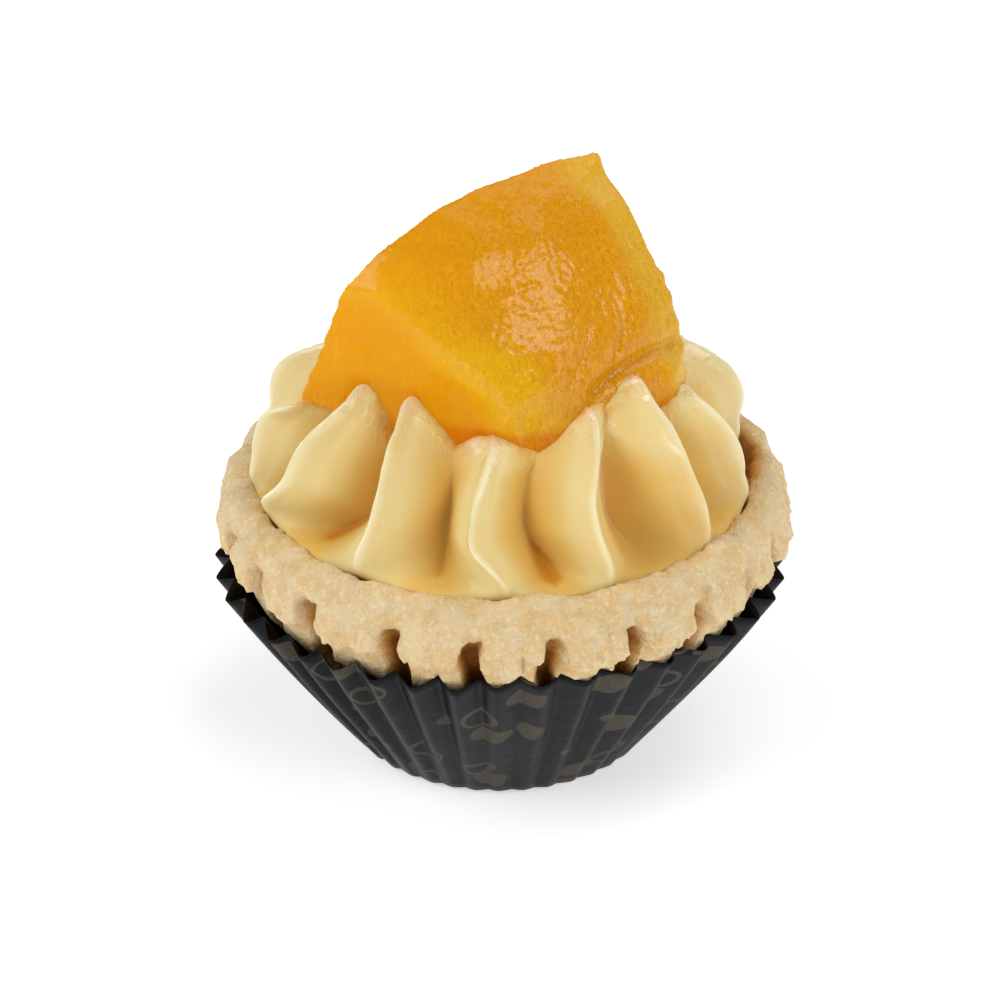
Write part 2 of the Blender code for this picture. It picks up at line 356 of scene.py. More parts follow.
def makeCase():
    c = caseForm
    floorRadii = np.linspace(0.0, c["baseRadius"] - c["corner"], c["floorRows"])
    shares = np.linspace(c["corner"] / c["slant"], 1.0, c["wallRows"])
    profile = [(r, 0.0) for r in floorRadii]
    profile += [tuple(float(v) for v in caseWall(0.0, 0.0, 0, s)) for s in shares]
    case, rows, angle = spinProfile("bakingCase", profile, c["pleats"] * c["columnsPerPleat"])
    angle, wave, pleat = pleatAt(angle)
    share = np.concatenate((np.zeros(c["floorRows"]), shares))[rows]
    wallRadius, wallHeight = caseWall(angle, wave, pleat, share)
    onFloor = rows < c["floorRows"]
    floorRadius = floorRadii[np.minimum(rows, c["floorRows"] - 1)]
    floorRadius = floorRadius + c["basePleat"] * wave * (floorRadius / c["baseRadius"]) ** c["basePleatFade"]
    radius = np.where(onFloor, floorRadius, wallRadius)
    height = np.where(onFloor, 0.0, wallHeight)
    movePoints(case, polarPoints(radius, angle, height))
    layOutPaper(case, rows, angle, share, floorRadii)
    facesOutward(case)
    outside = len(case.data.vertices)
    applyModifier(case, "SOLIDIFY", thickness=c["paper"] * mm, offset=-1.0, use_even_offset=False)
    paint(case, "inside", np.arange(len(case.data.vertices)) >= outside)
    return case


def layOutPaper(case, rows, angle, share, floorRadii):
    # the flat blank's coordinates, so that the print bends round the folds as it does on paper
    c = caseForm
    order = np.linspace(-180.0, 180.0, c["samples"] // 2 + 1)
    laid, wavy, pleat = pleatAt(order)
    rim, _ = caseWall(laid, wavy, pleat, 1.0)
    rimPoints = polarPoints(rim, laid, 0.0 * rim)
    length = np.concatenate(([0.0], np.cumsum(np.linalg.norm(np.diff(rimPoints, axis=0), axis=1))))
    turn = np.interp(angle, laid, length / length[-1] * 2.0 * np.pi)
    floorRadius = floorRadii[np.minimum(rows, c["floorRows"] - 1)]
    radius = np.where(rows < c["floorRows"], floorRadius, c["baseRadius"] + c["slant"] * share)
    flat = np.stack((radius * np.sin(turn), radius * np.cos(turn)), axis=1) / c["blank"] + 0.5
    layer = case.data.uv_layers.new(name="flatPaper")
    corners = np.zeros(len(case.data.loops), np.int32)
    case.data.loops.foreach_get("vertex_index", corners)
    layer.data.foreach_set("uv", flat[corners].astype(np.float32).ravel())


def paperFinish():
    p = casePaint
    f = Finish("printed black paper", Specular_IOR_Level=0.12)
    unit = f.node("UVMap", {"uv_map": "flatPaper"})
    flat = f.node("Mapping", None, {"Vector": unit, "Scale": (caseForm["blank"],) * 3})
    drift = f.node("TexNoise", None, {"Vector": flat, "Scale": 1.0 / p["wanderSize"], "Detail": 1.0},
                   output="Color")
    bent = f.node("VectorMath", {"operation": "MULTIPLY_ADD"}, {0: drift, 1: (p["wander"],) * 3, 2: flat})
    wide = f.node("Mapping", None, {"Vector": bent, "Location": p["shift"], "Scale": p["stretch"]})
    spread = {"Vector": wide, "Scale": 1.0 / p["pebble"], "Randomness": p["scatter"]}
    away = f.node("TexVoronoi", None, spread) * p["pebble"]
    luck = f.node("TexVoronoi", None, spread, "Color")
    filled = f.ramp(away, p["filled"], p["filled"] - p["filledEdge"]) * f.ramp(luck, *p["choice"])
    line = f.ramp(away.distanceFrom(p["outlined"]), *p["line"]) * f.ramp(luck, *p["choice"][::-1])
    speckle = 0.55 + 0.6 * f.ramp(f.mottle(flat, p["speck"], 1.0), 0.35, 0.65)
    printed = filled.maths("MAXIMUM", filled, line * (1.0 - filled)) * speckle
    colour = f.blend(printed, p["black"], p["print"])
    f.set("Base Color", f.blend(f.painted("inside"), colour, p["inside"]))
    at = f.place()
    f.set("Roughness", 0.36 + 0.24 * printed + 0.12 * f.mottle(at, 1.2))
    f.set("Normal", f.bumps(f.mottle(at, p["crinkle"], 3.0) + 0.25 * f.mottle(at, 0.3), p["crinkleDepth"]))
    return f.material


# shortcrust shell: colours, then sizes of the patches, crumbs and sugar crystals
crustPaint = {
    "pale": (0.81, 0.63, 0.37), "golden": (0.785, 0.545, 0.25), "sandy": (0.87, 0.74, 0.48),
    "grain": (0.93, 0.83, 0.62), "toasted": (0.64, 0.33, 0.08), "dark": (0.34, 0.12, 0.018),
    "glow": 0.25, "glowReach": 1.2, "patch": 2.0, "sand": 0.6, "speck": 0.9, "crystal": 0.42, "relief": 0.24,
}
# notches are the gaps between the lobes; a pair is where an effect starts and where it is full
crustForm = {
    "shift": 0.4, "lobes": 22, "columns": 704, "rows": 112,
    "notches": (-72.0, -58.0, -42.0, -23.0, -6.4, 9.2, 26.5, 42.9, 57.7, 70.0), "notchSway": 0.12,
    "notchWander": 0.6, "wanderWaves": 0.9, "halfWidth": 0.95, "widthSpread": 0.22, "softness": 0.42,
    "corner": 2.6, "cornerRise": 1.9, "lobeRadius": 30.0, "clearance": 0.3, "overhang": (1.2, 3.0),
    "mouthRadius": (28.4, 26.6), "mouthHeight": (28.8, 30.0), "toastedAt": 100.0, "toastedReach": 12.0,
    "toasting": 0.7, "notchBaking": 0.75, "notchHeight": (27.5, 25.0),
    "lowerRoll": (22.2, 23.2), "smoothFoot": (12.0, 20.0), "smoothRows": 16, "smoothness": 0.15,
    "crumbs": ((4.2, 1.1), (1.5, 0.7), (0.6, 0.42)),
    "rimCrumbs": (0.42, 0.7), "rimHeight": 23.8, "rimReach": 0.7, "rimRadius": (28.9, 29.6),
}
# lobe radius, lobe height, notch radius, notch height, share of the corner's rise, and brownness: the baking
# colour, with painted shade under the lobes and on the inner rim
crustRows = (
    (0.0, 0.6, 0.0, 0.6, 0.0, 0.5),
    (13.6, 0.6, 13.6, 0.6, 0.0, 0.5),
    (14.8, 0.9, 14.7, 0.9, 0.0, 0.5),
    (15.5, 1.6, 15.2, 1.6, 0.0, 0.5),
    (21.2, 11.6, 20.4, 11.6, 0.0, 0.4),
    (26.6, 18.8, 25.0, 18.8, 0.0, 0.2),
    (27.7, 20.2, 25.5, 20.2, 0.0, 0.1),
    (28.0, 21.2, 25.7, 21.2, 0.1, 0.16),
    (28.25, 22.0, 25.8, 22.1, 0.3, 0.22),
    (28.4, 22.6, 25.8, 22.9, 0.6, 0.3),
    (28.5, 23.1, 25.8, 23.5, 0.85, 0.36),
    (28.9, 23.45, 25.9, 24.0, 0.95, 0.2),
    (29.8, 23.4, 26.1, 24.5, 1.0, 0.0),
    (30.2, 24.0, 26.6, 25.1, 1.0, 0.0),
    (30.2, 25.2, 27.4, 26.0, 0.5, 0.0),
    (30.05, 27.0, 29.1, 27.0, 0.0, 0.0),
    (29.3, 29.2, 29.1, 29.2, 0.0, 0.0),
    (27.8, 30.6, 27.7, 30.6, 0.0, 0.05),
    (26.5, 30.5, 26.5, 30.5, 0.0, 0.2),
    (25.8, 29.6, 25.8, 29.6, 0.0, 0.6),
    (13.4, 6.4, 13.4, 6.4, 0.0, 1.0),
    (12.0, 5.6, 12.0, 5.6, 0.0, 1.0),
    (0.0, 5.6, 0.0, 5.6, 0.0, 1.0),
)


def notchAngles():
    c = crustForm
    first, last = c["notches"][0], c["notches"][-1]
    behind = c["lobes"] - len(c["notches"]) + 1
    pitch = (360.0 + first - last) / behind
    rest = [last + pitch * (place + c["notchSway"] * uneven(place, 3)) for place in range(1, behind)]
    return np.array(list(c["notches"]) + rest)


def fromNotch(angle, height):
    # distance along the rim from the nearest notch in millimetres, and that notch's number
    notches = notchAngles()
    start = 3.0 * uneven(np.arange(len(notches)), 6)
    wander = crustForm["notchWander"] * np.sin(height[:, None] * crustForm["wanderWaves"] + start[None, :])
    away = (angle[:, None] - notches[None, :] + wander + 180.0) % 360.0 - 180.0
    nearest = np.argmin(np.abs(away), axis=1)
    picked = np.take_along_axis(away, nearest[:, None], axis=1)[:, 0]
    return np.abs(picked) * math.radians(crustForm["lobeRadius"]), nearest


def makeCrust():
    c = crustForm
    table = smoothRows(crustRows, c["rows"])
    lastRow = c["rows"] - 1
    crust, rows, angle = spinProfile("shortcrustShell", [(r[0], r[1]) for r in table], c["columns"])
    lobeRadius, lobeHeight, notchRadius, notchHeight, corner, baking = table[rows].T
    along, notch = fromNotch(angle, lobeHeight)
    halfWidth = c["halfWidth"] * (1.0 + c["widthSpread"] * uneven(notch, 7))
    lobe = smoothStep(halfWidth - c["softness"], halfWidth + c["softness"], along)
    bend = np.clip(1.0 - (along - halfWidth) / c["corner"], 0.0, 1.0)
    rise = c["cornerRise"] * (1.0 - np.sqrt(1.0 - bend * bend))
    radius = mix(notchRadius, lobeRadius, lobe)
    height = mix(notchHeight, lobeHeight + corner * rise, lobe)
    points = polarPoints(radius, angle, height, c["shift"])
    for pole in (0, lastRow):
        points[rows == pole] = (c["shift"], 0.0, table[pole, 1])
    movePoints(crust, insidePaper(points, height))

    # a browner patch on the inner lip at one angle, where the cream draws back
    inside = smoothStep(*c["mouthRadius"], radius) * smoothStep(*c["mouthHeight"], height)
    # painted shade down the notches between the lobes
    baking = baking + c["notchBaking"] * (1.0 - lobe) * smoothStep(*c["notchHeight"], height)
    baking = baking + c["toasting"] * bump(angle, c["toastedAt"], c["toastedReach"]) * inside
    # how brown the crust is: its baking colour, with painted shade under the lobes, down the notches and on
    # the inner rim
    paint(crust, "baking", np.clip(baking, 0.0, 1.0))
    facesOutward(crust)

    grain = mix(0.35, 1.0, smoothStep(*c["lowerRoll"], height)) * smoothStep(*c["smoothFoot"], height)
    grain = grain * np.where(rows > c["rows"] - c["smoothRows"], c["smoothness"], 1.0)
    weightGroup(crust, "grain", grain)
    for size, depth in c["crumbs"]:
        relief(crust, "CLOUDS", size, depth, "grain", noise_depth=1)
    rim = bump(lobeHeight, c["rimHeight"], c["rimReach"]) * lobe * smoothStep(*c["rimRadius"], lobeRadius)
    weightGroup(crust, "crumbs", rim)
    relief(crust, "CLOUDS", *c["rimCrumbs"], "crumbs", noise_depth=0)
    paint(crust, "sugar", rim)
    return crust


def insidePaper(points, height):
    # draws in what would poke through the paper, and lets the lobes hang over its rim
    c = crustForm
    rise, width = c["overhang"]
    paperRadius, paperRim = paperAt(points)
    reach = np.maximum(np.linalg.norm(points[:, :2], axis=1), 0.001)
    allowed = paperRadius - c["clearance"] + width * smoothStep(0.0, rise, height - paperRim)
    points[:, :2] *= np.minimum(1.0, allowed / reach)[:, None]
    return points


def crustFinish():
    p = crustPaint
    f = Finish("shortcrust", Specular_IOR_Level=0.3, Subsurface_Weight=p["glow"],
               Subsurface_Scale=p["glowReach"] * mm, Subsurface_Radius=(1.0, 0.55, 0.25))
    at = f.place()
    patches = f.ramp(f.mottle(at, p["patch"], 5.0, 0.7), 0.42, 0.6)
    sand = f.ramp(f.mottle(at, p["sand"], 2.0), 0.54, 0.66)
    specks = f.ramp(f.cells(at, p["speck"]), 0.3, 0.12) * f.ramp(f.mottle(at, 2.4), 0.5, 0.6)
    baking = (f.painted("baking") + 0.22 * (f.mottle(at, 1.6) - 0.5)).clipped()
    colour = f.blend(patches, p["pale"], p["golden"])
    colour = f.blend(sand * 0.7, colour, p["sandy"])
    sugar = 0.3 + 0.5 * f.painted("sugar")
    crystals = f.ramp(f.cells(at, p["crystal"]) + 0.5 * (f.mottle(at, 0.3) - 0.5), 0.36, 0.22)
    crystals = crystals * f.ramp(f.mottle(at, 1.3, 1.0) + 0.15 * sugar, 0.5, 0.6)
    colour = f.blend(crystals * sugar, colour, p["grain"])
    colour = f.blend(specks * 0.3, colour, p["toasted"])
    # browner, then darker, where the crust is baked more and where shade is painted under the lobes, down the
    # notches and on the inner rim
    colour = f.blend(f.ramp(baking, 0.1, 0.62), colour, p["toasted"])
    colour = f.blend(f.ramp(baking, 0.5, 0.95), colour, p["dark"])
    f.set("Base Color", colour)
    f.set("Roughness", 0.62 + 0.25 * f.mottle(at, 0.8))
    fine = f.mottle(at, 0.34, 2.0, 0.6) + 0.35 * crystals + 0.5 * f.mottle(at, 0.9)
    f.set("Normal", f.bumps(fine, p["relief"]))
    return f.material


# custard rosette; its crest colour is painted light on the crests, the near-white one a painted highlight
# along their tops, and the valley and groove colours painted shade
creamPaint = {
    "face": (0.825, 0.63, 0.235), "crest": (0.865, 0.72, 0.34), "valley": (0.66, 0.29, 0.022),
    "gloss": (0.94, 0.84, 0.56), "yolk": (0.775, 0.475, 0.10), "pink": (0.88, 0.58, 0.37),
    "juice": (0.80, 0.40, 0.05), "glow": 0.28, "glowReach": 1.7, "ripple": 0.17,
}
creamForm = {
    "shift": 0.4, "columnsPerRidge": 52, "rows": 120, "crowding": 1.3,
    "footHeight": 30.7, "fullRadius": 26.9, "fullHeight": 34.2, "middleHeight": 38.0,
    "tipRadius": 15.1, "tipHeight": 44.5, "tipRow": 11, "top": 42.0,
    "crestRounding": 0.06, "hollow": 1.1,
    "bead": 0.075, "beadWidth": 0.1, "beadSide": (0.45, 0.2, 0.09),
    "beadFrom": (3.6, 5.5), "beadTo": (13.0, 11.0), "liftFrom": (33.0, 39.0), "liftTo": (14.5, 11.0),
    "bareAt": 97.0, "bareReach": 13.0, "bareHeight": (30.0, 3.0), "bareDepth": 1.3,
    "nub": (-3.2, -13.6, 41.4), "nubSize": 1.25, "nubPull": (0.0, -0.55, 0.83), "nubLift": 1.5,
    "nubPink": 1.8, "seamAfter": 5, "wetRidges": (0, 8),
    "swell": (5.0, 0.45), "rumple": (1.2, 0.45), "rumpleFrom": (39.5, 43.0),
}
# each ridge: crest angle at the foot, half way up and at the tip, the tip's radius and height, its
# girth, how much higher than usual the valley after it meets the peach, how dark the painted shade
# at that valley's bottom is, and how far up the valley's flanks the painted shade of the grooves reaches
creamRidges = np.array((
    (-108.0, -107.0, -109.0, 14.6, 44.2, 0.955, 0.6, 0.5, 0.7),
    (-82.0, -81.0, -71.0, 22.0, 42.4, 0.965, 0.4, 0.5, 0.7),
    (-68.5, -55.0, -55.5, 17.4, 45.5, 1.0, 0.0, 0.8, 0.6),
    (-34.0, -29.5, -39.0, 15.2, 45.0, 1.0, -0.2, 0.55, 0.6),
    (0.5, -7.5, -4.3, 14.2, 41.9, 1.0, 0.9, 1.1, 0.85),
    (24.0, 20.6, 36.0, 14.8, 44.0, 1.0, 4.2, 0.2, 1.7),
    (52.0, 48.0, 57.5, 16.0, 45.8, 0.985, 2.8, 0.3, 1.15),
    (75.0, 71.0, 77.0, 19.8, 42.9, 0.95, 0.8, 0.5, 0.85),
    (102.0, 100.0, 103.0, 17.6, 45.2, 0.94, 0.0, 0.5, 0.7),
    (136.0, 135.0, 132.0, 17.2, 45.0, 0.98, 0.6, 0.5, 0.7),
    (165.0, 165.0, 161.0, 17.8, 46.2, 1.0, -0.3, 0.5, 0.7),
    (193.0, 194.0, 192.0, 17.1, 44.8, 0.97, 0.5, 0.5, 0.7),
    (221.0, 224.0, 222.0, 15.6, 44.6, 0.98, 0.2, 0.5, 0.7),
))
footAngles, middleAngles, tipAngles, tipRadii, tipHeights, girths, lifts, valleyShades, grooveShadeReach = creamRidges.T
# crest radius, crest height, valley radius, valley height
creamRows = (
    (0.0, 6.0, 0.0, 6.0),
    (12.6, 6.0, 12.6, 6.0),
    (13.3, 6.9, 13.3, 6.9),
    (25.0, 28.6, 25.0, 28.6),
    (26.3, 30.3, 26.2, 30.2),
    (26.6, 31.8, 22.6, 30.5),
    (26.9, 34.2, 19.6, 31.7),
    (26.5, 37.2, 18.0, 33.8),
    (24.6, 39.9, 16.8, 36.0),
    (21.3, 41.7, 15.6, 37.9),
    (17.6, 43.2, 14.6, 39.2),
    (15.1, 44.5, 13.4, 40.0),
    (12.9, 43.6, 10.5, 40.4),
    (8.5, 42.6, 6.0, 41.4),
    (0.0, 42.0, 0.0, 42.0),
)


def crestAngle(ridge, height):
    c = creamForm
    foot, middle, tip = footAngles[ridge], middleAngles[ridge], tipAngles[ridge]
    lower = mix(foot, middle, smoothStep(c["footHeight"], c["middleHeight"], height))
    upper = mix(middle, tip, smoothStep(c["middleHeight"], c["tipHeight"], height) ** 2)
    return np.where(height < c["middleHeight"], lower, upper)


def crestCourse(ridge, crestRadius, crestHeight, pastTip):
    # the standard crest, drawn out to reach each ridge's own tip
    c = creamForm
    tipRadius, tipHeight = tipRadii[ridge], tipHeights[ridge]
    inward = c["fullRadius"] - crestRadius
    radius = c["fullRadius"] - inward * (c["fullRadius"] - tipRadius) / (c["fullRadius"] - c["tipRadius"])
    height = c["fullHeight"] + (crestHeight - c["fullHeight"]) * (
        (tipHeight - c["fullHeight"]) / (c["tipHeight"] - c["fullHeight"]))
    low = crestHeight < c["fullHeight"]
    radius = np.where(low, crestRadius, radius)
    height = np.where(low, crestHeight, height)
    innerRadius = crestRadius * tipRadius / c["tipRadius"]
    innerHeight = c["top"] + (crestHeight - c["top"]) * (tipHeight - c["top"]) / (c["tipHeight"] - c["top"])
    return np.where(pastTip, innerRadius, radius), np.where(pastTip, innerHeight, height)


def makeCream():
    c = creamForm
    table = smoothRows([(*row, place) for place, row in enumerate(creamRows)], c["rows"])
    count = len(creamRidges)
    columns = count * c["columnsPerRidge"]
    cream, rows, turn = spinProfile("custardRosette", [(r[0], r[1]) for r in table], columns)
    place = (turn % 360.0) / 360.0 * count + 0.5
    ridge = np.floor(place + tiny).astype(int) % count
    away = np.clip((place - np.floor(place + tiny)) * 2.0 - 1.0, -1.0, 1.0)
    away = np.sign(away) * np.abs(away) ** c["crowding"]
    aside = np.abs(away)
    crestRadius, crestHeight, valleyRadius, valleyHeight, stage = table[rows].T

    neighbour = (ridge + np.where(away >= 0.0, 1, -1)) % count
    crest = crestAngle(ridge, crestHeight)
    toNext = (crestAngle(neighbour, crestHeight) - crest) % 360.0
    toNext = np.where(away < 0.0, toNext - 360.0, toNext)
    angle = crest + aside * toNext / 2.0

    ridgeShare = (1.0 - roundedRamp(aside, c["crestRounding"])) ** c["hollow"]
    beaded = c["bead"] * smoothStep(*c["beadFrom"], stage) * smoothStep(*c["beadTo"], stage)
    dip, dipAt, dipWidth = c["beadSide"]
    ridgeShare = ridgeShare + beaded * (bump(aside, 0.0, c["beadWidth"]) - dip * bump(aside, dipAt, dipWidth))
    ownRadius, ownHeight = crestCourse(ridge, crestRadius, crestHeight, stage > c["tipRow"])
    grown = smoothStep(c["footHeight"], c["fullHeight"], crestHeight)
    ownRadius = ownRadius * mix(1.0, girths[ridge], grown)
    valley = np.where(away >= 0.0, ridge, (ridge - 1) % count)
    lift = lifts[valley] * smoothStep(*c["liftFrom"], valleyHeight) * smoothStep(*c["liftTo"], stage)
    radius = mix(valleyRadius, ownRadius, ridgeShare)
    height = mix(valleyHeight + lift, ownHeight, ridgeShare)
    around = (angle + 180.0) % 360.0 - 180.0
    bare = bump(around, c["bareAt"], c["bareReach"]) * bump(height, *c["bareHeight"])
    radius = radius - c["bareDepth"] * bare
    points = polarPoints(radius, angle, height, c["shift"])
    toNub = np.linalg.norm(points - np.array(c["nub"]), axis=1)
    points += np.array(c["nubPull"]) * (c["nubLift"] * bump(toNub, 0.0, c["nubSize"]))[:, None]
    movePoints(cream, points)

    wetRidge = np.isin(ridge, c["wetRidges"])
    paintCream(cream, points, height, radius, ridge, valley, ridgeShare, toNub, wetRidge)
    facesOutward(cream)
    relief(cream, "CLOUDS", *c["swell"], noise_depth=0)
    weightGroup(cream, "rumpled", smoothStep(*c["rumpleFrom"], height) * np.where(wetRidge, 1.0, 0.5))
    size, depth = c["rumple"]
    relief(cream, "CLOUDS", size, depth, "rumpled", noise_depth=1)
    return cream


def paintCream(cream, points, height, radius, ridge, valley, ridgeShare, toNub, wetRidge):
    # where the custard is paler on the crests as painted light, darker in the grooves and at the valley
    # bottoms as painted shade, pink, stained or wet
    c = creamForm
    belowTip = height - tipHeights[ridge]
    paint(cream, "crest", ridgeShare)
    # the grooves' painted shade, reaching up the flanks as far as each valley's share allows
    grooveShading = smoothStep(0.0, 0.8, 1.0 - ridgeShare / grooveShadeReach[valley])
    paint(cream, "groove", grooveShading * smoothStep(42.5, 38.0, height))
    pinkTip = smoothStep(-1.3, 0.3, belowTip) * smoothStep(0.7, 1.0, ridgeShare)
    pinkSeam = (valley == c["seamAfter"]) * bump(ridgeShare, 0.0, 0.05) * smoothStep(31.5, 35.0, height)
    paint(cream, "pink", np.maximum(np.maximum(bump(toNub, 0.0, c["nubPink"]), pinkTip), pinkSeam))
    nearTip = smoothStep(-3.2, -1.2, belowTip) * smoothStep(0.6, 0.9, ridgeShare)
    fromPeach = fromChunk(points)
    juicy = np.maximum(smoothStep(3.2, 0.6, fromPeach), nearTip)
    juicy = np.maximum(juicy, 0.7 * wetRidge * smoothStep(38.0, 41.0, height))
    paint(cream, "juicy", juicy * smoothStep(36.0, 39.0, height))
    paint(cream, "stained", smoothStep(1.3, 0.1, fromPeach))
    # painted shade at the valley bottoms near the crust
    valleyShade = smoothStep(34.0, 31.0, height) * (1.0 - ridgeShare) ** 4 * smoothStep(25.6, 23.2, radius)
    paint(cream, "depth", valleyShade * valleyShades[valley])


def creamFinish():
    p = creamPaint
    f = Finish("custard cream", Specular_IOR_Level=0.3, Subsurface_Weight=p["glow"],
               Subsurface_Scale=p["glowReach"] * mm, Subsurface_Radius=(1.0, 0.6, 0.22))
    at = f.place()
    crest = f.painted("crest")
    groove = f.painted("groove")
    soft = f.mottle(at, 5.0, 2.0)
    # paler towards the crests: painted light on the crests
    colour = f.blend(f.ramp(crest, 0.4, 0.92), p["face"], p["crest"])
    # a thin near-white line along the crest tops: a painted highlight
    colour = f.blend(f.ramp(crest, 0.95, 1.05) * 0.6, colour, p["gloss"])
    # the grooves darkened with painted shade
    colour = f.blend((groove + 0.3 * (soft - 0.5)).clipped() * 0.8, colour, p["yolk"])
    # the valley bottoms darkened further with painted shade
    colour = f.blend(f.ramp(f.painted("depth") + 0.2 * (soft - 0.5), 0.2, 0.8), colour, p["valley"])
    colour = f.blend(f.painted("pink") * 0.8, colour, p["pink"])
    colour = f.blend(f.painted("stained") * f.ramp(f.mottle(at, 1.5), 0.3, 0.6) * 0.75, colour, p["juice"])
    f.set("Base Color", colour)
    juicy = f.painted("juicy")
    wet = (f.ramp(f.mottle(at, 3.0, 2.0), 0.5, 0.65) * 0.2 + 0.5 * juicy).clipped()
    f.set("Roughness", 0.46 - 0.16 * wet)
    f.set("Coat Weight", (0.6 * f.ramp(crest, 0.85, 1.0) + 0.1 + 0.75 * wet - 0.6 * groove).clipped())
    f.set("Coat Roughness", 0.04)
    ripple = f.mottle(at, 0.8, 2.0) * (0.1 + 1.6 * juicy) + 0.06 * f.mottle(at, 0.4, 1.0)
    f.set("Normal", f.bumps(ripple, p["ripple"]))
    return f.material


# chunk of peach: a ball cut by planes, each with azimuth, elevation and distance from the middle; the deep
# orange flesh colour is painted shade along the top band, and the pale one is also painted light at the thin
# right edge
peachPaint = {
    "flesh": (0.86, 0.36, 0.001), "yellow": (0.93, 0.49, 0.003), "pale": (0.84, 0.465, 0.03),
    "deep": (0.81, 0.335, 0.001), "orange": (0.78, 0.22, 0.001), "glow": 0.2, "glowReach": 1.3,
    "juice": 0.62, "wrinkle": 0.5, "wrinkleDepth": 0.15, "fibre": 1.1, "fibreDepth": 0.16,
}
peachForm = {
    "centre": (-5.8, 16.2, 38.0), "radius": 31.95, "merge": 0.02, "voxel": 0.23, "softening": 5,
    "cuts": ((-18.8, 1.0, 13.85), (-146.5, 15.5, 16.8), (128.3, 5.5, 17.45), (-90.0, -80.0, -38.0)),
    "tip": (9.2, 5.2, 63.8), "tipReach": 1.3, "tipPull": (0.6, -0.3, 0.5),
    "edgeBulge": (17.2, -1.5, 50.5), "edgeReach": 5.0, "edgeDepth": 0.55,
    "ridge": (-5.0, -12.0, 52.0), "ridgeReach": 6.0, "ridgePull": (-2.4, 0.0, -0.3),
    "lobe": (16.9, -5.4, 43.6), "lobeReach": 2.3, "lobeDepth": 1.1,
    "leatherMiddle": (6.5, -9.0, 51.0), "leatherReach": 12.0,
    "ridged": (0.9, 0.05), "cloudy": (0.42, 0.07),
    "flake": (0.3, 0.16), "swell": (4.5, 0.35), "streak": 0.16, "jag": (1.3, 0.5),
}
# lines pressed into the flesh: path, width and depth
peachCreases = (
    (((9.6, -10.6, 45.2), (11.4, -9.2, 46.1), (12.7, -8.0, 46.7), (14.3, -6.6, 47.0), (15.9, -5.0, 47.2),
      (17.6, -3.4, 46.9)), 0.85, 0.9),
    (((-7.5, -11.0, 54.0), (-5.0, -10.6, 54.9), (-2.5, -10.0, 55.5), (0.0, -9.5, 55.7), (3.5, -8.1, 56.1)),
     0.4, 0.22),
    (((9.0, -8.6, 51.5), (8.2, -10.0, 48.8), (6.2, -11.6, 46.2)), 0.5, 0.25),
    (((12.5, -7.0, 50.5), (11.5, -8.6, 47.9)), 0.5, 0.3),
)
# small flakes of flesh that stand up: middle, direction, length
peachFlakes = (
    ((-0.3, -2.2, 63.2), (1.0, 0.1, 0.1), 1.2), ((1.6, -1.8, 63.1), (0.9, 0.4, 0.3), 0.9),
    ((4.1, 0.2, 63.5), (1.0, 0.2, 0.0), 1.1), ((0.5, -3.7, 61.9), (0.4, -0.4, -0.8), 0.8),
    ((1.3, -4.1, 61.3), (0.8, 0.4, 0.5), 0.8), ((4.6, -1.2, 62.4), (0.9, 0.2, -0.3), 0.9),
    ((6.6, -0.9, 61.6), (0.7, 0.6, 0.2), 1.0), ((8.6, 3.0, 63.0), (0.5, 0.8, 0.1), 1.0),
    ((-13.7, -9.0, 49.0), (1.0, -0.3, -0.2), 1.0), ((-10.3, -10.2, 48.2), (1.0, -0.3, -0.1), 1.4),
    ((-15.2, -8.4, 50.2), (0.6, -0.2, 0.8), 0.5), ((-12.1, -9.5, 46.9), (0.9, -0.3, 0.2), 0.5),
)


def cutDirection(azimuth, elevation):
    turn, tilt = math.radians(azimuth), math.radians(elevation)
    return Vector((math.cos(tilt) * math.sin(turn), -math.cos(tilt) * math.cos(turn), math.sin(tilt)))


def fromSpot(points, spot):
    return np.linalg.norm(points - np.array(spot), axis=1)


def fromPath(points, path):
    # each point's distance from a line of straight stretches
    nearest = np.full(len(points), np.inf)
    for start, end in zip(path, path[1:]):
        start, along = np.array(start), np.array(end) - np.array(start)
        share = np.clip((points - start) @ along / (along @ along), 0.0, 1.0)
        nearest = np.minimum(nearest, np.linalg.norm(points - start - share[:, None] * along, axis=1))
    return nearest


def cutChunk():
    c = peachForm
    bpy.ops.object.select_all(action="DESELECT")
    bpy.ops.mesh.primitive_ico_sphere_add(subdivisions=6, radius=c["radius"] * mm,
                                          location=[v * mm for v in c["centre"]])
    peach = bpy.context.object
    peach.name = peach.data.name = "peachChunk"
    bpy.ops.object.transform_apply(location=True, rotation=True, scale=True)
    bpy.ops.object.mode_set(mode="EDIT")
    for azimuth, elevation, distance in c["cuts"]:
        outward = cutDirection(azimuth, elevation)
        bpy.ops.mesh.select_all(action="SELECT")
        bpy.ops.mesh.bisect(plane_co=outward * distance * mm, plane_no=outward, use_fill=True,
                            clear_outer=True)
    bpy.ops.mesh.select_all(action="SELECT")
    bpy.ops.mesh.remove_doubles(threshold=c["merge"] * mm)
    bpy.ops.object.mode_set(mode="OBJECT")
    applyModifier(peach, "REMESH", mode="VOXEL", voxel_size=c["voxel"] * mm)
    applyModifier(peach, "SMOOTH", factor=0.5, iterations=c["softening"])
    facesOutward(peach)
    return peach


def fromFaces(points):
    # how far each point lies outside each cut and outside the skin
    c = peachForm
    away = [points @ np.array(cutDirection(a, e)) - d for a, e, d in c["cuts"]]
    return away, fromSpot(points, c["centre"]) - c["radius"]


def fromChunk(points):
    away, skin = fromFaces(points)
    return np.max([*away, skin], axis=0)


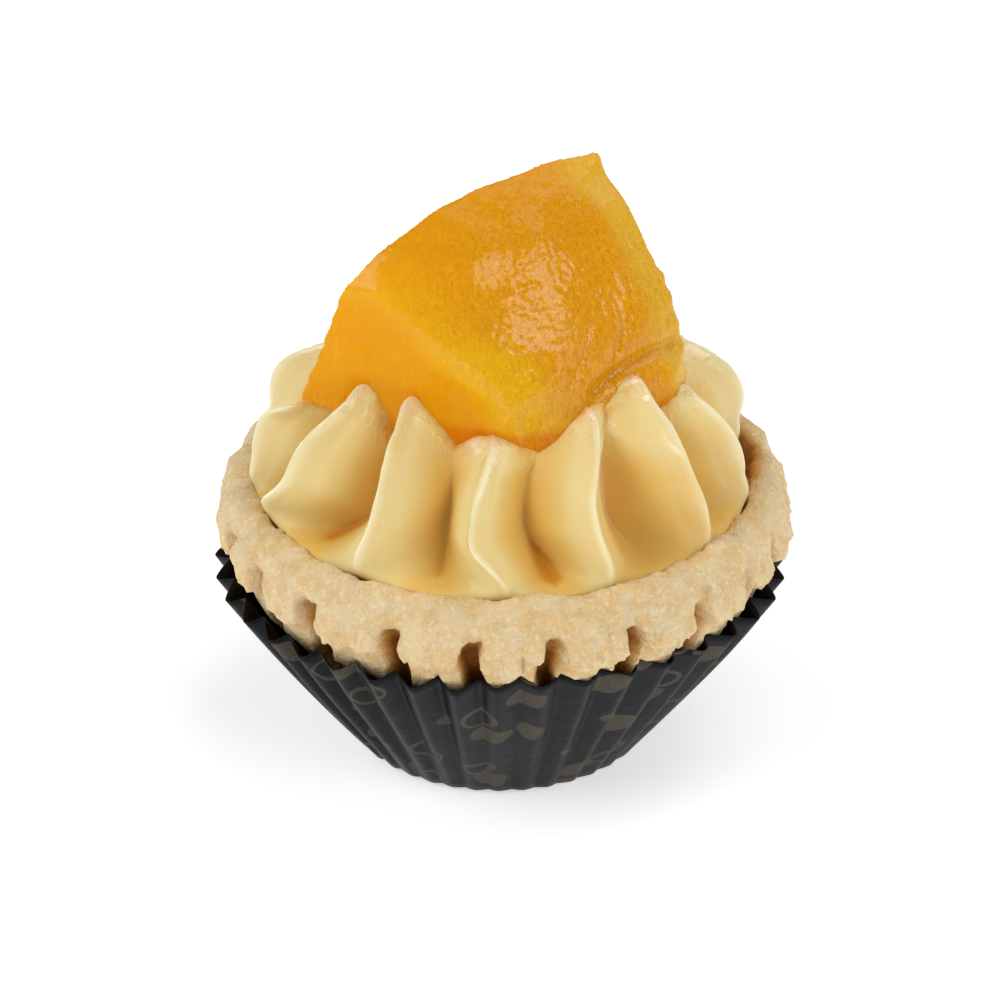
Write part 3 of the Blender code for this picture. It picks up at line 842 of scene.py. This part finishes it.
def carveChunk(peach, skinShare, fromEdge):
    c = peachForm
    points, normals = pointsOf(peach), normalsOf(peach)
    lift = np.zeros(len(points))
    for path, width, depth in peachCreases:
        lift -= depth * bump(fromPath(points, path), 0.0, width)
    flakeWidth, flakeHeight = c["flake"]
    for middle, direction, length in peachFlakes:
        middle, direction = np.array(middle), np.array(direction)
        ends = (middle - direction * length * 0.6, middle + direction * length * 0.6)
        lift += flakeHeight * bump(fromPath(points, ends), 0.0, flakeWidth)
    lift += c["lobeDepth"] * bump(fromSpot(points, c["lobe"]), 0.0, c["lobeReach"])
    lift += c["edgeDepth"] * bump(fromSpot(points, c["edgeBulge"]), 0.0, c["edgeReach"])
    swellSize, swellDepth = c["swell"]
    swell = np.array([noise.noise(Vector(p / swellSize)) for p in points])
    streaks = np.array([noise.noise(Vector((e / 0.8 + 1.6 * s, p[2] / 2.6, p[0] / 4.0)))
                        for e, s, p in zip(fromEdge, swell, points)])
    nearEdge = smoothStep(-0.6, -1.8, fromEdge) * smoothStep(-9.0, -4.0, fromEdge)
    lift += c["streak"] * streaks * skinShare * nearEdge
    jagSize, jagDepth = c["jag"]
    jagged = np.array([noise.noise(Vector(p / jagSize)) for p in points])
    lift += jagDepth * jagged * bump(fromEdge, 0.0, 1.3) * smoothStep(58.0, 50.0, points[:, 2])
    lift += swellDepth * swell
    points += normals * lift[:, None]
    for spot, reach, pull in (("tip", "tipReach", "tipPull"), ("ridge", "ridgeReach", "ridgePull")):
        near = bump(fromSpot(points, c[spot]), 0.0, c[reach])
        points += np.array(c[pull]) * near[:, None]
    movePoints(peach, points)


def makePeach():
    c = peachForm
    peach = cutChunk()
    points = pointsOf(peach)
    away, skin = fromFaces(points)
    frontCut, _, edgeCut, _ = away
    skinShare = bump(skin, 0.0, 0.9)
    carveChunk(peach, skinShare, edgeCut)
    middle = fromSpot(points, c["leatherMiddle"])
    leather = skinShare * np.clip(0.25 + bump(middle, 0.0, c["leatherReach"]), 0.0, 1.0)
    weightGroup(peach, "leather", leather)
    relief(peach, "MUSGRAVE", *c["ridged"], "leather", musgrave_type="RIDGED_MULTIFRACTAL")
    relief(peach, "CLOUDS", *c["cloudy"], "leather", noise_depth=1)
    paintPeach(peach, points, skin, skinShare, frontCut, edgeCut)
    paint(peach, "leathery", leather)
    facesOutward(peach)
    return peach


def paintPeach(peach, points, skin, skinShare, frontCut, edgeCut):
    # where the flesh is yellow or orange; paler at the thin right edge as painted light and round the tip,
    # darker along the top band as painted shade, and darker orange along the bottom as juice and painted
    # shade
    height = points[:, 2]
    lowRidge = 0.45 + 0.55 * smoothStep(53.5, 48.5, height)
    paint(peach, "ridge", np.exp(-(frontCut / 3.2) ** 2 - (skin / 1.6) ** 2) * lowRidge)
    paint(peach, "brink", np.exp(-(frontCut / 0.45) ** 2 - (skin / 0.6) ** 2))
    # paler towards the thin right edge: painted light, as if shining through
    paint(peach, "edge", bump(edgeCut, 0.0, 4.0) * skinShare)
    # darker orange along the bottom where the chunk sits on the cream: juice there, and painted shade
    paint(peach, "foot", smoothStep(43.4, 41.2, height) * smoothStep(-16.0, -8.0, points[:, 0]))
    # darker along the top band: painted shade
    paint(peach, "band", smoothStep(56.0, 61.0, height) * skinShare * smoothStep(-1.5, -5.0, edgeCut))
    # paler round the tip
    paint(peach, "rind", bump(fromSpot(points, peachForm["tip"]), 0.0, 5.0))


def peachFinish():
    p = peachPaint
    f = Finish("peach flesh", Specular_IOR_Level=0.06, Subsurface_Weight=p["glow"],
               Subsurface_Scale=p["glowReach"] * mm, Subsurface_Radius=(1.0, 0.4, 0.04))
    at = f.place()
    soft = 0.22 * (f.mottle(at, 5.0, 2.0) - 0.5)
    # deeper orange along the top band: painted shade
    colour = f.blend(f.ramp(f.painted("band") + soft, 0.1, 0.9), p["flesh"], p["deep"])
    # paler towards the thin right edge: painted light
    colour = f.blend(f.ramp(f.painted("edge") + soft, 0.15, 0.8), colour, p["pale"])
    colour = f.blend(f.ramp(f.painted("ridge") + soft, 0.15, 0.85), colour, p["yellow"])
    # paler round the tip
    colour = f.blend(f.ramp(f.painted("rind") + soft, 0.15, 0.9), colour, p["pale"])
    colour = f.blend(f.painted("brink") * 0.35, colour, p["yellow"])
    # darker orange along the bottom: juice and painted shade
    colour = f.blend(f.ramp(f.painted("foot"), 0.0, 1.0) * 0.8, colour, p["orange"])
    fibres = f.mottle(f.place(turn=(0.0, 25.0, 0.0), stretch=(1.0, 1.0, 0.25)), 0.8, 2.0)
    colour = f.blend(f.ramp(fibres, 0.55, 0.75) * 0.22, colour, p["yellow"])
    f.set("Base Color", colour)
    f.set("Roughness", 0.40 + 0.14 * f.mottle(at, 1.0))
    leather = f.painted("leathery")
    f.set("Coat Weight", p["juice"] * (0.22 + 0.85 * leather))
    f.set("Coat Roughness", 0.13)
    slanted = f.place(turn=(0.0, 40.0, 20.0), stretch=(1.0, 1.0, 0.4))
    wrinkles = 1.0 - f.mottle(slanted, p["wrinkle"], 2.0, 0.5, 1.8).distanceFrom(0.5) * 7.0
    network = f.ramp(f.cells(at, 0.5, "DISTANCE_TO_EDGE"), 0.0, 0.25)
    grain = 0.5 * wrinkles.clipped() + 0.16 * network + 0.45 * f.mottle(at, 0.24, 2.0)
    grain = grain * (0.28 + 0.72 * leather)
    along = f.place(turn=(0.0, 35.0, 0.0), stretch=(1.0, 1.0, 0.3))
    cutFibres = f.bumps(f.mottle(along, p["fibre"], 2.0, 0.5, 0.8), p["fibreDepth"])
    f.set("Normal", f.bumps(grain, p["wrinkleDepth"], cutFibres))
    return f.material


def dress(piece, node, material):
    piece.data.materials.clear()
    piece.data.materials.append(material)
    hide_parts(node)
    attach(piece, "root")
    print("made", piece.name, len(piece.data.polygons))


dress(makeCase(), "paper_case", paperFinish())
dress(makeCrust(), "crust", crustFinish())
dress(makeCream(), "cream", creamFinish())
dress(makePeach(), "peach", peachFinish())

studio = {
    "target": (0.0, 0.0, 26.5), "distance": 450.0, "elevation": 30.0, "lens": 153.0, "nearest": 10.0,
    "lit": (0.0, 0.0, 30.0), "floor": (0.82, 0.82, 0.82), "floorSize": 6000.0, "floorGlow": 0.52, "sky": 0.14,
}
# each softbox: azimuth, elevation, distance, width, height, power in watts
softboxes = {
    "keyRight": (42.0, 37.0, 800.0, 400.0, 370.0, 1.8),
    "lowRight": (50.0, 9.0, 800.0, 140.0, 260.0, 0.26),
    "keyLeft": (-63.0, 42.0, 800.0, 440.0, 420.0, 3.0),
    "top": (90.0, 76.0, 800.0, 420.0, 420.0, 0.9),
    "back": (130.0, 52.0, 800.0, 500.0, 400.0, 1.25),
    "rimRight": (118.0, 24.0, 800.0, 380.0, 460.0, 0.3),
    "rimLeft": (-112.0, 26.0, 800.0, 380.0, 460.0, 0.6),
}


def lookFrom(item, azimuth, elevation, distance, target):
    outward = cutDirection(azimuth, elevation)
    item.location = (Vector(target) + outward * distance) * mm
    item.rotation_euler = (-outward).to_track_quat("-Z", "Y").to_euler()


def makeStudio():
    s = studio
    camera = bpy.data.objects.new("camera", bpy.data.cameras.new("camera"))
    camera.data.lens = s["lens"]
    camera.data.clip_start = s["nearest"] * mm
    bpy.context.collection.objects.link(camera)
    lookFrom(camera, 0.0, s["elevation"], s["distance"], s["target"])
    bpy.context.scene.camera = camera
    for name, (azimuth, elevation, distance, width, height, power) in softboxes.items():
        lamp = bpy.data.lights.new(name, "AREA")
        lamp.shape = "RECTANGLE"
        lamp.size, lamp.size_y, lamp.energy = width * mm, height * mm, power
        holder = bpy.data.objects.new(name, lamp)
        bpy.context.collection.objects.link(holder)
        lookFrom(holder, azimuth, elevation, distance, s["lit"])
    bpy.ops.object.select_all(action="DESELECT")
    bpy.ops.mesh.primitive_plane_add(size=s["floorSize"] * mm, location=(0, 0, 0))
    floor = bpy.context.object
    floor.name = "floor"
    floorFinish = Finish("floor", Base_Color=s["floor"], Roughness=0.8, Specular_IOR_Level=0.1,
                         Emission_Color=(1.0, 1.0, 1.0), Emission_Strength=s["floorGlow"])
    floor.data.materials.append(floorFinish.material)
    world = bpy.data.worlds.new("studio")
    world.use_nodes = True
    world.node_tree.nodes["Background"].inputs["Color"].default_value = (1.0, 1.0, 1.0, 1.0)
    world.node_tree.nodes["Background"].inputs["Strength"].default_value = s["sky"]
    bpy.context.scene.world = world
    bpy.context.scene.view_settings.view_transform = "Standard"


makeStudio()
print("studio ready")
